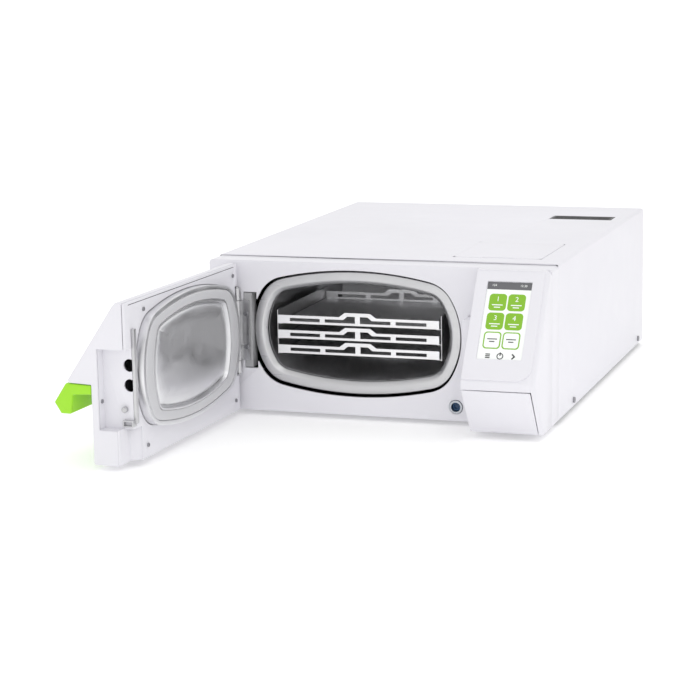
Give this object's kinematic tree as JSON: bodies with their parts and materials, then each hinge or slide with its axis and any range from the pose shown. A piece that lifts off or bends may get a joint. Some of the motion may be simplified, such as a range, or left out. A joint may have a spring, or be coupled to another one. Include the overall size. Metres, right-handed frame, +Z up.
{
  "type": "benchtop autoclave",
  "caption": "Compact benchtop steam autoclave: side-hinged pressure door standing open, oval stainless chamber, sliding instrument trays, slanted touch panel.",
  "frame": {"origin": "middle of the bounding box with the door standing open, at the level of the feet", "axes": "+X to the right seen from the front, +Y from the front to the rear, +Z up"},
  "size_m": [0.4622, 0.8319, 0.1814],
  "materials": {
    "housing_paint": "white textured powder coat",
    "moulded_white": "white moulded plastic, satin",
    "handle_green": "lime green moulded plastic",
    "polished_steel": "electropolished stainless steel",
    "satin_steel": "satin stainless steel",
    "pin_steel": "ground steel",
    "screw_steel": "plated steel screws",
    "tray_metal": "clear anodised aluminium",
    "silicone_seal": "pale grey silicone",
    "display_glass": "printed cover glass",
    "dark_plastic": "black moulded plastic",
    "dark_metal": "black coated steel",
    "port_metal": "nickel plated",
    "foot_rubber": "black rubber",
    "pan_metal": "galvanised sheet",
    "tank_plastic": "natural polyethylene",
    "board_green": "solder mask",
    "brass_fitting": "plain brass",
    "boiler_steel": "mill finish stainless",
    "heater_mat": "silicone heater mat",
    "jacket_foam": "glass fibre felt"
  },
  "bodies": {
    "housing": {"outer_cover": "housing_paint", "rear_panel": "housing_paint", "front_frame": "moulded_white", "control_fascia": "moulded_white", "lock_housing": "moulded_white", "chamber_vessel": "polished_steel", "chamber_flange": "satin_steel", "hinge_leaf": "satin_steel", "hinge_pin": "pin_steel", "cover_screws": "screw_steel", "hinge_screws": "screw_steel", "rear_screws": "screw_steel", "touch_glass": "display_glass", "display_module": "dark_plastic", "vent_grille": "dark_plastic", "fan_housing": "dark_plastic", "power_inlet": "dark_plastic", "air_filter": "dark_plastic", "hinge_bracket": "dark_metal", "vacuum_pump": "dark_metal", "front_port": "port_metal", "drain_connector": "port_metal", "water_connector": "port_metal", "rubber_feet": "foot_rubber", "base_pan": "pan_metal", "power_supply": "pan_metal", "condenser": "pan_metal", "clean_water_tank": "tank_plastic", "used_water_tank": "tank_plastic", "control_board": "board_green", "safety_valve": "brass_fitting", "valve_block": "brass_fitting", "steam_generator": "boiler_steel", "heater_bands": "heater_mat", "insulation_jacket": "jacket_foam"},
    "door": {"door_cover": "moulded_white", "door_panel": "moulded_white", "pressure_lid": "polished_steel", "lid_seal": "silicone_seal", "door_bridge": "satin_steel", "latch_plate": "satin_steel", "hinge_knuckles": "satin_steel", "door_handle": "handle_green", "door_screws": "screw_steel"},
    "rack": {"tray_rack": "satin_steel"},
    "tray_1": {"tray_1": "tray_metal"},
    "tray_2": {"tray_2": "tray_metal"},
    "tray_3": {"tray_3": "tray_metal"},
    "service_flap": {"service_flap": "moulded_white"},
    "fill_lid": {"fill_lid": "housing_paint"},
    "lock_bolt_upper": {"lock_bolt_upper": "pin_steel"},
    "lock_bolt_lower": {"lock_bolt_lower": "pin_steel"},
    "fan_rotor": {"fan_rotor": "dark_plastic"},
    "power_switch": {"power_switch": "dark_plastic"}
  },
  "joints": [
    {"name": "door_hinge", "type": "hinge", "parent": "housing", "child": "door", "pos_m": [-0.1362, -0.1335, 0.099], "axis": [0, 0, -1], "range_deg": [-92.52, 5]},
    {"name": "rack_slide", "type": "slide", "parent": "housing", "child": "rack", "axis": [0, -1, 0], "range_m": [0, 0.18]},
    {"name": "tray_1_slide", "type": "slide", "parent": "rack", "child": "tray_1", "axis": [0, -1, 0], "range_m": [0, 0.12]},
    {"name": "tray_2_slide", "type": "slide", "parent": "rack", "child": "tray_2", "axis": [0, -1, 0], "range_m": [0, 0.12]},
    {"name": "tray_3_slide", "type": "slide", "parent": "rack", "child": "tray_3", "axis": [0, -1, 0], "range_m": [0, 0.12]},
    {"name": "flap_hinge", "type": "hinge", "parent": "housing", "child": "service_flap", "pos_m": [0.1871, -0.1755, 0.009], "axis": [1, 0, 0], "range_deg": [0, 50]},
    {"name": "fill_lid_hinge", "type": "hinge", "parent": "housing", "child": "fill_lid", "pos_m": [0.1511, 0.0558, 0.1814], "axis": [-1, 0, 0], "range_deg": [0, 100]},
    {"name": "lock_upper_slide", "type": "slide", "parent": "housing", "child": "lock_bolt_upper", "axis": [-1, 0, 0], "range_m": [0, 0.008]},
    {"name": "lock_lower_slide", "type": "slide", "parent": "housing", "child": "lock_bolt_lower", "axis": [-1, 0, 0], "range_m": [0, 0.008]},
    {"name": "fan_spin", "type": "hinge", "parent": "housing", "child": "fan_rotor", "pos_m": [-0.0859, 0.3815, 0.094], "axis": [0, 1, 0], "continuous": true},
    {"name": "power_rocker", "type": "hinge", "parent": "housing", "child": "power_switch", "pos_m": [0.1676, 0.401, 0.044], "axis": [1, 0, 0], "range_deg": [-6, 6]}
  ],
  "couplings": [
    {"joint": "lock_lower_slide", "follows": "lock_upper_slide", "ratio": 1}
  ]
}
